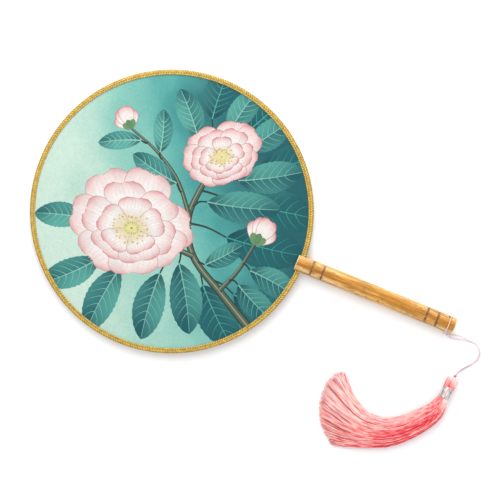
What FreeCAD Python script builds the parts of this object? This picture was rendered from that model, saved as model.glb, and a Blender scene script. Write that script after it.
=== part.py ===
import FreeCAD, Part
import math
import os

os.makedirs("parts", exist_ok=True)
Vec = FreeCAD.Vector
along_x = Vec(1, 0, 0)
up = Vec(0, 0, 1)

# Round face: a bent bamboo hoop with silk on both sides and a braid bound over the edge
disc_diameter = 240.0
hoop_width = 3.2
hoop_thickness = 2.4
hoop_edge_round = 0.4
tang_length = 24.0
tang_width = 5.0
silk_thickness = 0.2
braid_width = 4.7
braid_thickness = 0.8
braid_edge_round = 0.6

# Turned bamboo handle: two scorched grooves near each end, a slotted head and a cord hole
handle_length = 144.0
handle_diameter = 14.0
head_overlap = 6.5
head_bevel = 0.4
tail_bevel = 0.7
groove_width = 1.5
groove_depth = 0.5
head_groove_places = [14.0, 23.9]
tail_groove_places = [16.3, 26.0]
cord_hole_diameter = 2.4
cord_hole_from_tail = 6.0
cord_hole_lean_deg = 30.0

# Clearances between glued or threaded pieces, and the overrun of every cut
fit_clearance = 0.1
slot_clearance = 0.15
hinge_clearance = 0.35
wrap_clearance = 0.3
lay_gap = 0.2
overrun = 1.0

# Pink hanging cord: one loop through the hole, its two legs laid together below
cord_diameter = 0.9
cord_pair_diameter = 1.7
bend_trim_share = 0.45
wrap_angles_deg = [-72.0, -42.0, -14.0, 12.0, 34.0]

# Tassel: knot, bound head, silver collar and a thread skirt that lies spread on its side
tassel_lean_deg = 7.0
knot_diameter = 2.8
knot_sink = 0.5
knot_clearance = 0.2
head_diameter = 10.5
head_length = 10.0
head_flat_diameter = 3.2
head_crown_length = 4.6
crown_bulge_shares = (0.28, 0.76)
head_foot_diameter = 9.9
collar_length = 10.0
collar_thickness = 0.4
neck_diameter = 9.0
skirt_reach = 95.2
skirt_drop = 71.8
skirt_height = 9.4
# Each station: inner edge across and down, outer edge across and down, height
skirt_station_shares = [
    (0.120, 0.125, -0.030, 0.155, 0.96),
    (0.205, 0.250, -0.010, 0.300, 0.90),
    (0.390, 0.450, 0.120, 0.565, 0.84),
    (0.585, 0.487, 0.330, 0.790, 0.78),
    (0.776, 0.358, 0.610, 0.944, 0.68),
    (0.900, 0.178, 0.754, 1.000, 0.52),
    (1.030, 0.250, 0.965, 0.780, 0.32),
]

# Places worked out from the sizes: x runs along the handle, z is the height over the surface
disc_radius = disc_diameter / 2
handle_radius = handle_diameter / 2
half_length = (disc_diameter + handle_length - head_overlap) / 2
disc_x = disc_radius - half_length
tail_x = half_length
head_x = tail_x - handle_length
axis_z = handle_radius
hole_x = tail_x - cord_hole_from_tail
hoop_radius = disc_radius - braid_thickness - fit_clearance
stack_half = hoop_thickness / 2 + silk_thickness
rim_half = stack_half + braid_thickness
disc_centre = Vec(disc_x, 0, axis_z)

# The cord's routes: distance past the hole, distance to the side, height over the surface
swing_point = (23.1, -6.9, 1.05)
front_leg_route = [
    (21.95, -7.57, 1.05),
    (18.6, -8.1, 0.8),
    (14.9, -8.9, 0.65),
    (11.0, -9.9, 0.9),
    (7.4, -10.2, 1.8),
    (4.2, -9.7, 3.3),
    (1.6, -8.9, 5.2),
]
back_leg_route = [
    (1.95, -9.08, 1.76),
    (5.0, -8.6, 1.2),
    (8.2, -7.6, 0.8),
    (11.8, -6.4, 0.65),
    (15.4, -5.6, 0.65),
    (18.8, -5.7, 0.8),
    (21.85, -6.47, 1.05),
]
pair_route = [
    swing_point,
    (28.2, -6.4, 1.05),
    (32.6, -8.2, 1.05),
    (35.9, -11.8, 1.05),
    (36.6, -16.8, 1.05),
    (34.6, -21.9, 1.05),
    (31.6, -26.4, 1.1),
    (27.9, -30.4, 1.75),
    (24.8, -34.6, 3.3),
]
knot_place = (23.1, -38.9)

# How far past the hole's two mouths the cord turns, and its short runs there
upper_mouth_reach = 0.5
lower_mouth_reach = 1.6
upper_mouth_run = 1.0
upper_mouth_turn_deg = 38.0
lower_mouth_run = 1.3
lower_mouth_turn_deg = 30.0


def disc(radius, low, high):
    return Part.makeCylinder(radius, high - low, disc_centre + up * low, up)


def ring(outer_radius, inner_radius, low, high):
    hollow = disc(inner_radius, low - overrun, high + overrun)
    return disc(outer_radius, low, high).cut(hollow)


def circles_of(shape, radius):
    edges = []
    for edge in shape.Edges:
        if isinstance(edge.Curve, Part.Circle) and math.isclose(edge.Curve.Radius, radius):
            edges.append(edge)
    return edges


def bar(start_x, length, width, thickness):
    corner = Vec(start_x, -width / 2, axis_z - thickness / 2)
    return Part.makeBox(length, width, thickness, corner)


def make_hoop():
    strip = ring(hoop_radius, hoop_radius - hoop_width, -hoop_thickness / 2, hoop_thickness / 2)
    strip = strip.makeFillet(hoop_edge_round, circles_of(strip, hoop_radius - hoop_width))
    tang_start = disc_x + hoop_radius - hoop_width / 2
    tang = bar(tang_start, tang_length + hoop_width / 2, tang_width, hoop_thickness)
    return strip.fuse(tang).removeSplitter()


def tang_passage():
    return bar(disc_x + hoop_radius, tang_length + fit_clearance, tang_width + 2 * fit_clearance,
               hoop_thickness + 2 * fit_clearance)


def make_braid():
    binding = ring(disc_radius, disc_radius - braid_width, -rim_half, rim_half)
    binding = binding.makeFillet(braid_edge_round, circles_of(binding, disc_radius))
    binding = binding.cut(disc(hoop_radius + fit_clearance, -stack_half, stack_half))
    return binding.cut(tang_passage())


def rims_at(turned, x):
    return [edge for edge in circles_of(turned, handle_radius) if math.isclose(edge.CenterOfMass.x, x)]


def make_handle():
    turned = Part.makeCylinder(handle_radius, handle_length, Vec(head_x, 0, axis_z), along_x)
    turned = turned.makeChamfer(tail_bevel, rims_at(turned, tail_x))
    turned = turned.makeChamfer(head_bevel, rims_at(turned, head_x))
    groove_round = groove_width / 2
    groove_path = handle_radius + groove_round - groove_depth
    places = [head_x + place for place in head_groove_places]
    places += [tail_x - place for place in tail_groove_places]
    for place in places:
        turned = turned.cut(Part.makeTorus(groove_path, groove_round, Vec(place, 0, axis_z), along_x))
    slot_half = rim_half + slot_clearance
    turned = turned.cut(disc(disc_radius + slot_clearance, -slot_half, slot_half))
    turned = turned.cut(tang_passage())
    drill_start = Vec(hole_x, 0, axis_z) - hole_axis() * (handle_radius + overrun)
    drill = Part.makeCylinder(cord_hole_diameter / 2, handle_diameter + 2 * overrun, drill_start,
                              hole_axis())
    return turned.cut(drill)


def hole_axis():
    lean = math.radians(cord_hole_lean_deg)
    return Vec(0, math.cos(lean), math.sin(lean))


def past_hole(route):
    return [Vec(hole_x + along, side, height) for along, side, height in route]


def turned_from(start, end, angle_deg):
    angle = math.radians(angle_deg)
    return start * math.cos(angle) + end * math.sin(angle)


def loop_points():
    middle = Vec(hole_x, 0, axis_z)
    step_deg = (wrap_angles_deg[-1] - wrap_angles_deg[0]) / (len(wrap_angles_deg) - 1)
    wrap_radius = handle_radius + wrap_clearance + cord_diameter / 2
    corner_radius = wrap_radius / math.cos(math.radians(step_deg / 2))
    wrap = []
    for angle_deg in wrap_angles_deg:
        angle = math.radians(angle_deg)
        wrap.append(middle + Vec(0, math.sin(angle), math.cos(angle)) * corner_radius)
    # At the upper mouth the cord bends from the handle's front into the hole in three equal turns
    drilled = hole_axis()
    crosswise = along_x.cross(drilled)
    mouth = middle + drilled * (handle_radius + upper_mouth_reach)
    second = mouth + turned_from(drilled, crosswise, upper_mouth_turn_deg) * upper_mouth_run
    first = second + turned_from(drilled, crosswise, 2 * upper_mouth_turn_deg) * upper_mouth_run
    # At the lower mouth it bends from the hole to run beside the handle
    lower = middle - drilled * (handle_radius + lower_mouth_reach)
    beside = lower - turned_from(drilled, along_x * -1, lower_mouth_turn_deg) * lower_mouth_run
    return past_hole(front_leg_route) + wrap + [first, second, mouth, lower, beside] \
        + past_hole(back_leg_route)


def cord_path(points, name):
    edges = []
    start = points[0]
    radii = []
    for before, corner, after in zip(points, points[1:], points[2:]):
        into = corner - before
        out = after - corner
        trim = bend_trim_share * min(into.Length, out.Length)
        into.normalize()
        out.normalize()
        half_turn = into.getAngle(out) / 2
        radius = trim / math.tan(half_turn)
        inward = out - into
        inward.normalize()
        first = corner - into * trim
        last = corner + out * trim
        middle = corner + inward * (radius / math.cos(half_turn) - radius)
        edges.append(Part.LineSegment(start, first).toShape())
        edges.append(Part.Arc(first, middle, last).toShape())
        radii.append(radius)
        start = last
    edges.append(Part.LineSegment(start, points[-1]).toShape())
    print(name, "bend radii", " ".join("%.1f" % radius for radius in radii))
    return Part.Wire(edges)


def cord_tube(points, diameter, name):
    path = cord_path(points, name)
    section = Part.Circle(points[0], points[1] - points[0], diameter / 2).toShape()
    sweep = Part.BRepOffsetAPI.MakePipeShell(path)
    sweep.add(Part.Wire(section))
    sweep.build()
    sweep.makeSolid()
    tube = sweep.shape()
    expected = math.pi * diameter ** 2 / 4 * path.Length
    print(name, "length %.1f, volume %.2f of %.2f" % (path.Length, tube.Volume, expected))
    return tube


def make_cord_pair():
    points = past_hole(pair_route)
    to_knot = knot_centre - points[-1]
    to_knot.normalize()
    end = knot_centre - to_knot * (knot_diameter / 2 + hinge_clearance)
    points.append(end)
    tube = cord_tube(points, cord_pair_diameter, "cord_pair")
    # The legs come together in a rounded end, centred where the cord swings
    away = points[1] - points[0]
    cap = Part.makeSphere(cord_pair_diameter / 2, points[0], away, -90, 0, 360)
    return tube.fuse(cap).removeSplitter()


def leaned(shape):
    # The head, collar and neck lie aslant, turned about the knot towards the fan
    return shape.rotated(knot_centre, up, -tassel_lean_deg)


def make_head():
    def outline_point(down, across):
        return Vec(tassel_x + across, head_top_y - down, tassel_z)

    head_radius = head_diameter / 2
    foot = head_length - fit_clearance
    crown_down_share, crown_across_share = crown_bulge_shares
    flat_edge = outline_point(0, head_flat_diameter / 2)
    bulge = outline_point(crown_down_share * head_crown_length, crown_across_share * head_radius)
    shoulder = outline_point(head_crown_length, head_radius)
    foot_edge = outline_point(foot, head_foot_diameter / 2)
    corners = [shoulder, foot_edge, outline_point(foot, 0), outline_point(0, 0), flat_edge]
    edges = [Part.Arc(flat_edge, bulge, shoulder).toShape()]
    for start, end in zip(corners, corners[1:]):
        edges.append(Part.LineSegment(start, end).toShape())
    profile = Part.Face(Part.Wire(edges))
    head = profile.revolve(Vec(tassel_x, 0, tassel_z), Vec(0, 1, 0), 360)
    return leaned(head.cut(Part.makeSphere(knot_diameter / 2 + knot_clearance, knot_centre)))


def make_collar():
    inner = neck_diameter / 2 + fit_clearance
    top = Vec(tassel_x, head_top_y - head_length, tassel_z)
    down = Vec(0, -1, 0)
    band = Part.makeCylinder(inner + collar_thickness, collar_length, top, down)
    bore = Part.makeCylinder(inner, collar_length + 2 * overrun, top - down * overrun, down)
    return leaned(band.cut(bore))


def skirt_section(inner_edge, outer_edge, height):
    middle = (inner_edge + outer_edge) / 2
    rise = up * (height / 2)
    over = Part.Arc(inner_edge, middle + rise, outer_edge).toShape()
    under = Part.Arc(outer_edge, middle - rise, inner_edge).toShape()
    return Part.Wire([over, under])


def make_skirt():
    mouth_y = head_top_y - head_length - collar_length - fit_clearance
    mouth_half = Vec(neck_diameter / 2 + fit_clearance + collar_thickness, 0, 0)
    mouth = Vec(tassel_x, mouth_y, tassel_z)
    sections = [leaned(skirt_section(mouth - mouth_half, mouth + mouth_half, skirt_height))]
    for inner_across, inner_down, outer_across, outer_down, height_share in skirt_station_shares:
        height = height_share * skirt_height
        middle_z = lay_gap + height / 2
        inner_edge = Vec(tassel_x - inner_across * skirt_reach, mouth_y - inner_down * skirt_drop, middle_z)
        outer_edge = Vec(tassel_x - outer_across * skirt_reach, mouth_y - outer_down * skirt_drop, middle_z)
        sections.append(skirt_section(inner_edge, outer_edge, height))
    spread = Part.makeLoft(sections, True, False)
    neck_top = Vec(tassel_x, head_top_y - head_length, tassel_z)
    neck = Part.makeCylinder(neck_diameter / 2, collar_length + overrun, neck_top, Vec(0, -1, 0))
    return spread.fuse(leaned(neck)).removeSplitter()


# The tassel hangs from its knot and lies with its axis nearly square to the handle
tassel_x = hole_x + knot_place[0]
tassel_z = head_diameter / 2 + lay_gap
knot_centre = Vec(tassel_x, knot_place[1], tassel_z)
head_top_y = knot_centre.y - knot_diameter / 2 + knot_sink

pieces = {
    "hoop": make_hoop(),
    "front_silk": disc(hoop_radius, hoop_thickness / 2, stack_half),
    "back_silk": disc(hoop_radius, -stack_half, -hoop_thickness / 2),
    "edge_braid": make_braid(),
    "handle": make_handle(),
    "cord_loop": cord_tube(loop_points(), cord_diameter, "cord_loop"),
    "cord_pair": make_cord_pair(),
    "cord_knot": Part.makeSphere(knot_diameter / 2, knot_centre),
    "tassel_head": make_head(),
    "neck_collar": make_collar(),
    "tassel_skirt": make_skirt(),
}

for name, shape in pieces.items():
    shape.exportStep("parts/" + name + ".step")
    print(name, "solids", len(shape.Solids), "valid", shape.isValid(), "volume %.1f" % shape.Volume)
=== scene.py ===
import math
import random
import bpy
import numpy as np
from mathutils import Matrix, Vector, geometry, noise


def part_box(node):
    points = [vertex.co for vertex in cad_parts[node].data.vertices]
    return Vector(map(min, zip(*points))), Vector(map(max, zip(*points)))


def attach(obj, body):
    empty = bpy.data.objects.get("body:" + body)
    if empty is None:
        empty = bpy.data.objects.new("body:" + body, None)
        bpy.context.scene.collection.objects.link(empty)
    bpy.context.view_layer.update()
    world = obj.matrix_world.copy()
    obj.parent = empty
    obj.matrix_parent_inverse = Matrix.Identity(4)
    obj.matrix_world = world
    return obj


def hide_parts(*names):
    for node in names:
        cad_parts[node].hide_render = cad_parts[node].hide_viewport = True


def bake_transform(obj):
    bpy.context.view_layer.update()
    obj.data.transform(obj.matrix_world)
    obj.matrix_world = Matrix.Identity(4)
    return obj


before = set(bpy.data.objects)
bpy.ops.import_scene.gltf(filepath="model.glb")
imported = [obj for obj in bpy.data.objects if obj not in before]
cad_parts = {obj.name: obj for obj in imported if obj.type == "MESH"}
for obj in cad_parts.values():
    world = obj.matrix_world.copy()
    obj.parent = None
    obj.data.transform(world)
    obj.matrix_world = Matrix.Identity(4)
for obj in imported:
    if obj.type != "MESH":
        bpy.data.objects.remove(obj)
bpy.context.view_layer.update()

mm = 0.001
mixShare, mixFrom, mixTo, mixResult = 0, 6, 7, 2  # the sockets of a Mix node that mixes colours


def linear(hexCode):
    parts = [int(hexCode[i:i + 2], 16) / 255 for i in (1, 3, 5)]
    return [p / 12.92 if p <= 0.04045 else ((p + 0.055) / 1.055) ** 2.4 for p in parts] + [1.0]


def newMaterial(name, **surface):
    material = bpy.data.materials.new(name)
    material.use_nodes = True
    shader = material.node_tree.nodes["Principled BSDF"]
    for socket, value in surface.items():
        shader.inputs[socket.replace("_", " ")].default_value = value
    return material, material.node_tree


def addNode(tree, kind, sockets=(), stops=(), **settings):
    # sockets go by name, or in a list in the node's own order. Each takes a plain value, another node's
    # output, or a node, whose first output is then linked. A colour ramp also takes its stops
    node = tree.nodes.new("ShaderNode" + kind)
    for name, value in settings.items():
        setattr(node, name, value)
    named = sockets if isinstance(sockets, dict) else dict(enumerate(sockets))
    for name, value in named.items():
        if isinstance(value, bpy.types.Node):
            value = value.outputs[0]
        if isinstance(value, bpy.types.NodeSocket):
            tree.links.new(value, node.inputs[name])
        else:
            node.inputs[name].default_value = value
    for _ in stops[2:]:
        node.color_ramp.elements.new(0.5)
    for number, (place, hexCode) in enumerate(stops):
        node.color_ramp.elements[number].position = place
        node.color_ramp.elements[number].color = linear(hexCode)
    return node


def dress(tree, colour, bump=None):
    # links the surface's colour and, where it has one, its bump
    shader = tree.nodes["Principled BSDF"]
    tree.links.new(colour, shader.inputs["Base Color"])
    if bump:
        tree.links.new(bump.outputs[0], shader.inputs["Normal"])


def meshPiece(name, points, faces, material):
    mesh = bpy.data.meshes.new(name)
    mesh.from_pydata([tuple(p) for p in points], [], [tuple(f) for f in faces])
    mesh.materials.append(material)
    mesh.polygons.foreach_set("use_smooth", [True] * len(mesh.polygons))
    mesh.update()
    piece = bpy.data.objects.new(name, mesh)
    bpy.context.scene.collection.objects.link(piece)
    return piece


def pointValues(piece, **values):
    for name, numbers in values.items():
        layer = piece.data.attributes.new(name, "FLOAT", "POINT")
        layer.data.foreach_set("value", np.asarray(numbers, dtype=np.float32))


def standsFor(piece, slotName, *nodes):
    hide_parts(*nodes)


# Camera: straight above the fan, turned so that the handle points to the lower right
cameraSet = {"lens": 85.0, "sensor": 36.0, "field": 422.75 * mm, "turnDeg": 22.14,
             "over": (4.62 * mm, -5.33 * mm), "planeHeight": 7.0 * mm}
cameraData = bpy.data.cameras.new("viewCamera")
cameraData.lens = cameraSet["lens"]
cameraData.sensor_width = cameraSet["sensor"]
camera = bpy.data.objects.new("viewCamera", cameraData)
cameraHeight = cameraSet["field"] * cameraSet["lens"] / cameraSet["sensor"] + cameraSet["planeHeight"]
camera.location = (*cameraSet["over"], cameraHeight)
camera.rotation_euler = (0, 0, math.radians(cameraSet["turnDeg"]))
bpy.context.scene.collection.objects.link(camera)
bpy.context.scene.camera = camera
pictureRight = Vector((math.cos(camera.rotation_euler.z), math.sin(camera.rotation_euler.z), 0))
pictureUp = Vector((-pictureRight.y, pictureRight.x, 0))

# White floor and soft studio light: broad lights from the picture's top, high and low, and a weaker one
# from its foot. Each light: name, place to the right, up the picture and over the floor, side in metres,
# power in watts
studio = {"floorSide": 6.0, "floorGap": 0.05 * mm, "mottle": 1.0, "worldStrength": 0.75,
          "lights": [("topSoftbox", -0.25, 0.75, 0.95, 1.1, 10.5),
                     ("lowStrip", 0.15, 1.15, 0.42, 0.7, 8.5),
                     ("footSoftbox", 0.35, -0.85, 0.90, 1.2, 4.5)]}
bpy.context.scene.view_settings.view_transform = "Standard"
# Matt emulsion paint, rolled: nearly white, with a faint unevenness
floorPaint, tree = newMaterial("mattPaintFloor", Roughness=0.9, IOR=1.45)
mottle = addNode(tree, "TexNoise", {"Scale": studio["floorSide"] / studio["mottle"], "Detail": 3.0})
tint = addNode(tree, "ValToRGB", [mottle], [(0.3, "#F4F4F3"), (0.7, "#F8F8F8")])
dress(tree, tint.outputs[0])
half = studio["floorSide"] / 2
corners = [(-half, -half), (half, -half), (half, half), (-half, half)]
floor = meshPiece("floor", [(x, y, -studio["floorGap"]) for x, y in corners], [(0, 1, 2, 3)], floorPaint)
world = bpy.data.worlds.new("studioWorld")
bpy.context.scene.world = world
world.use_nodes = True
world.node_tree.nodes["Background"].inputs["Color"].default_value = linear("#FBFCFF")
world.node_tree.nodes["Background"].inputs["Strength"].default_value = studio["worldStrength"]
for name, right, up, height, side, power in studio["lights"]:
    lightData = bpy.data.lights.new(name, "AREA")
    lightData.energy = power
    lightData.size = side
    light = bpy.data.objects.new(name, lightData)
    light.location = pictureRight * right + pictureUp * up + Vector((0, 0, height))
    light.rotation_euler = (-light.location).to_track_quat("-Z", "Y").to_euler()
    bpy.context.scene.collection.objects.link(light)
print("camera, floor and light ready")

# Places read from the frame
handleLow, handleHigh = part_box("handle")
braidLow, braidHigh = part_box("edge_braid")
silkLow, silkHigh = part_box("front_silk")
knotLow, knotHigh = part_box("cord_knot")
handleRadius = (handleHigh.z - handleLow.z) / 2
axisHeight = (handleHigh.z + handleLow.z) / 2
discCentre = (silkLow + silkHigh) / 2
knotCentre = (knotLow + knotHigh) / 2


def splineLine(name, route, steps):
    # the points of a NURBS curve that has the route's points as its control points
    curve = bpy.data.curves.new(name, "CURVE")
    curve.dimensions = "3D"
    spline = curve.splines.new("NURBS")
    spline.points.add(len(route) - 1)
    for place, point in zip(spline.points, route):
        place.co = (*point, 1)
    spline.order_u = 3
    spline.use_endpoint_u = True
    spline.resolution_u = steps
    guide = bpy.data.objects.new(name, curve)
    line = bpy.data.meshes.new_from_object(guide)
    points = np.array([v.co for v in line.vertices])
    bpy.data.objects.remove(guide)
    bpy.data.curves.remove(curve)
    bpy.data.meshes.remove(line)
    return points


def runsAlong(line):
    # distance along the line at each of its points
    return np.concatenate([[0], np.cumsum(np.linalg.norm(np.diff(line, axis=0), axis=1))])


def lengthOf(line):
    return float(runsAlong(line)[-1])


def squareTo(line):
    # two directions square to the line at each of its points, which don't twist round it
    tangents = np.gradient(line, axis=0)
    tangents /= np.linalg.norm(tangents, axis=1)[:, None]
    side = np.cross(tangents[0], (0, 0, 1))
    sides = []
    for tangent in tangents:
        side = side - tangent * side.dot(tangent)
        side = side / np.linalg.norm(side)
        sides.append(side)
    return np.array(sides), np.cross(tangents, sides)


def addTube(points, faces, line, radius, sideCount):
    # one closed tube round a line, added to the lists of points and faces
    sides, lifts = squareTo(line)
    first = len(points)
    radii = np.broadcast_to(radius, (len(line),))
    angles = np.arange(sideCount) * 2 * math.pi / sideCount
    for place, side, lift, r in zip(line, sides, lifts, radii):
        for angle in angles:
            points.append(place + (side * math.cos(angle) + lift * math.sin(angle)) * r)
    for ring in range(len(line) - 1):
        for k in range(sideCount):
            a = first + ring * sideCount + k
            b = first + ring * sideCount + (k + 1) % sideCount
            faces.append((a, a + sideCount, b + sideCount, b))
    last = first + (len(line) - 1) * sideCount
    faces.append(tuple(range(first, first + sideCount)))
    faces.append(tuple(range(last + sideCount - 1, last - 1, -1)))


def pliedLines(line, count, offset, pitch):
    # lines that wind round a line side by side, as the plies of a twisted cord do
    along = runsAlong(line)
    sides, lifts = squareTo(line)
    lines = []
    for ply in range(count):
        angle = 2 * math.pi * (along / pitch + ply / count)
        lines.append(line + offset * (sides * np.cos(angle)[:, None] + lifts * np.sin(angle)[:, None]))
    return lines


# Hanging cord: a loop through the handle's hole, whose two legs run on together to the tassel.
# Its routes are in mm: past the hole, to the side, over the surface
cordSet = {"diameter": 0.9 * mm, "pairDiameter": 1.7 * mm, "holeFromTail": 6.0 * mm, "holeLeanDeg": 30.0,
           "wrapClearance": 0.3 * mm, "wrapDeg": (-72, -42, -14, 12, 34), "plies": 3, "plyShare": 0.52,
           "plyPitch": 2.6 * mm, "plySides": 8, "pairPitch": 34.0 * mm, "loopSteps": 14, "pairSteps": 20,
           "bendReach": 5.0 * mm, "fibre": 0.6 * mm}
holePlace = Vector((handleHigh.x - cordSet["holeFromTail"], 0, 0))
frontLeg = [(23.1, -7.3, 1.05), (18.9, -7.7, 0.8), (14.9, -8.9, 0.65), (11.0, -9.9, 0.9),
            (7.4, -10.2, 1.8), (4.2, -9.7, 3.3), (1.6, -8.9, 5.2)]
throughHole = [(0, 6.594, 12.638), (0, 6.870, 11.677), (0, 6.495, 10.75), (0, -7.448, 2.70),
               (0.65, -8.423, 2.137)]
backLeg = [(1.95, -9.08, 1.76), (5.0, -8.6, 1.2), (8.2, -7.6, 0.8), (11.8, -6.4, 0.65),
           (15.4, -5.6, 0.65), (18.9, -5.6, 0.8), (23.1, -6.5, 1.05)]
pairRoute = [(23.1, -6.9, 1.05), (28.2, -6.4, 1.05), (32.6, -8.2, 1.05), (35.9, -11.8, 1.05),
             (36.6, -16.8, 1.05), (34.6, -21.9, 1.05), (31.6, -26.4, 1.1), (27.9, -30.4, 1.75),
             (24.8, -34.6, 3.3), (23.55, -37.7, 4.85)]


def pastHole(route):
    return [holePlace + Vector(point) * mm for point in route]


wrapStep = math.radians(cordSet["wrapDeg"][1] - cordSet["wrapDeg"][0])
wrapRadius = (handleRadius + cordSet["wrapClearance"] + cordSet["diameter"] / 2) / math.cos(wrapStep / 2)
wrapRoute = []
for angle in map(math.radians, cordSet["wrapDeg"]):
    overHandle = Vector((0, math.sin(angle), math.cos(angle))) * wrapRadius
    wrapRoute.append(holePlace + overHandle + Vector((0, 0, axisHeight)))
loopRoute = pastHole(frontLeg) + wrapRoute + pastHole(throughHole + backLeg)
loopLine = splineLine("loopRoute", loopRoute, cordSet["loopSteps"])
pairLine = splineLine("pairRoute", pastHole(pairRoute), cordSet["pairSteps"])

# Rayon cord, three-ply twist: pale pink with a soft sheen.
# It is warm where it lies on the handle and mauve near the tassel, whose dye has bled into it
cordYarn, tree = newMaterial("twistedRayonCord", Roughness=0.5, IOR=1.5, Sheen_Weight=0.35,
                             Sheen_Roughness=0.4)
where = addNode(tree, "TexCoord").outputs["Object"]
fibre = addNode(tree, "TexNoise", {"Vector": where, "Scale": 1 / cordSet["fibre"]})
tint = addNode(tree, "ValToRGB", [fibre], [(0.25, "#D4C2C6"), (0.5, "#EADDE0"), (0.75, "#FFF8F8")])
spot = addNode(tree, "SeparateXYZ", [where])
toHandle = addNode(tree, "MapRange", [spot.outputs["Y"], knotCentre.y, 0.0])
bled = addNode(tree, "ValToRGB", [toHandle],
               [(0.05, "#C6A7B2"), (0.4, "#E2D2D6"), (0.84, "#F2E8EA"), (0.96, "#FFDCC4")])
colour = addNode(tree, "Mix", {mixShare: 1.0, mixFrom: tint, mixTo: bled},
                 data_type="RGBA", blend_type="MULTIPLY")
bump = addNode(tree, "Bump", {"Strength": 0.25, "Distance": 0.1 * mm, "Height": fibre})
dress(tree, colour.outputs[mixResult], bump)


def twistedCord(name, lines):
    plyRadius = cordSet["diameter"] * cordSet["plyShare"] / 2
    plyOffset = cordSet["diameter"] / 2 - plyRadius
    points, faces = [], []
    for line in lines:
        for ply in pliedLines(line, cordSet["plies"], plyOffset, cordSet["plyPitch"]):
            addTube(points, faces, ply, plyRadius, cordSet["plySides"])
    return meshPiece(name, points, faces, cordYarn)


legOffset = cordSet["pairDiameter"] / 2 - cordSet["diameter"] / 2
cordLoop = twistedCord("cordLoop", [loopLine])
cordPair = twistedCord("cordPair", pliedLines(pairLine, 2, legOffset, cordSet["pairPitch"]))
standsFor(cordLoop, "pink_cord", "cord_loop")
standsFor(cordPair, "pink_cord", "cord_pair")
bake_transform(cordLoop)
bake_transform(cordPair)
print("cords: loop %.1f mm, pair %.1f mm" % (lengthOf(loopLine) / mm, lengthOf(pairLine) / mm))

# Silk faces: a printed branch of double camellias in the fan's colours.
# Places and lengths are in mm from the middle of the face, right and up in the picture
silkSet = {"gridStep": 1.35, "rowShare": 0.866, "jitter": 0.2, "rimPoints": 300, "rimMargin": 0.9,
           "slack": 0.06, "slackWave": 55.0, "paleShare": 0.62}
inks = {"mint": "#D6F0DF", "seaGreen": "#97D5C5", "teal": "#58B4AE", "deepTeal": "#1D6068",
        "night": "#134850", "leafLight": "#5FB3A6", "leafDark": "#1F686D", "leafRib": "#A9DCC9",
        "cream": "#FCF7EE", "white": "#FFFDF8", "heart": "#DDE0A0", "blush": "#F3BDB9", "rose": "#E08C92",
        "roseDeep": "#C9656F", "underPetal": "#EFDCC6", "stamen": "#F3E7A6", "anther": "#D9A93A",
        "pistil": "#8DAA4E", "bark": "#5E6A58", "barkDark": "#33463F", "barkLight": "#93A283",
        "sepal": "#7FA66A"}
inks = {name: np.array(linear(code)[:3]) for name, code in inks.items()}
shapes = []
drawing = random.Random(11)


def smooth(low, high, values):
    share = np.clip((values - low) / (high - low), 0, 1)
    return share * share * (3 - 2 * share)


def mixed(first, second, share):
    return first + (second - first) * np.asarray(share)[..., None]


def turned(angleDeg, flatten=1.0, tiltDeg=90.0):
    # a turn by the angle, then a flattening along the tilt's direction
    a, t = math.radians(angleDeg), math.radians(tiltDeg)
    spin = np.array([[math.cos(a), -math.sin(a)], [math.sin(a), math.cos(a)]])
    along = np.array([math.cos(t), math.sin(t)])
    return (np.eye(2) + (flatten - 1) * np.outer(along, along)) @ spin


def curveThrough(points, steps):
    # a smooth curve through points of any dimension, after Catmull and Rom
    points = np.asarray(points, float)
    ends = np.vstack([2 * points[0] - points[1], points, 2 * points[-1] - points[-2]])
    curve = []
    for a, b, c, d in zip(ends, ends[1:], ends[2:], ends[3:]):
        for t in np.arange(steps) / steps:
            curve.append(0.5 * (2 * b + (c - a) * t + (2 * a - 5 * b + 4 * c - d) * t ** 2
                                + (3 * b - a - 3 * c + d) * t ** 3))
    return np.array(curve + [points[-1]])


def between(oneSide, otherSide):
    # a closed outline, out along one side and back along the other
    return np.vstack([oneSide, otherSide[::-1]])


def addShape(outline, paint, origin=(0.0, 0.0), turn=np.eye(2)):
    # outlines run anticlockwise, so that their inside lies to the left
    origin = np.array(origin)
    outline = outline @ turn.T + origin
    nextOnes = np.roll(outline, -1, axis=0)
    if (outline[:, 0] * nextOnes[:, 1] - outline[:, 1] * nextOnes[:, 0]).sum() < 0:
        outline = outline[::-1]
    shapes.append({"outline": outline, "paint": paint, "origin": origin, "back": np.linalg.inv(turn)})


def flatInk(colour):
    return lambda places: np.broadcast_to(colour, (len(places), 3))


def brushLine(points, widths, colour, origin=(0.0, 0.0), turn=np.eye(2)):
    points = np.asarray(points) @ turn.T + np.array(origin)
    ways = np.gradient(points, axis=0)
    ways /= np.linalg.norm(ways, axis=1)[:, None]
    widthAlong = np.interp(np.linspace(0, 1, len(points)), np.linspace(0, 1, len(widths)), widths)
    offset = np.column_stack([-ways[:, 1], ways[:, 0]]) * widthAlong[:, None] / 2
    addShape(between(points + offset, points - offset), flatInk(colour))


def bladeLine(share, across, length, bend):
    # places on a petal or a leaf: a share of its length, and a distance across from its bent middle
    return np.column_stack([share * length, bend * length * share ** 2 + across])


def bladeShares(places, length, bend, reach):
    # the other way round, with the distance across as a share of the half width there
    share = np.clip(places[:, 0] / length, 0, 1)
    return share, (places[:, 1] - bend * length * share ** 2) / np.maximum(reach(share), 1.0)


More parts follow.
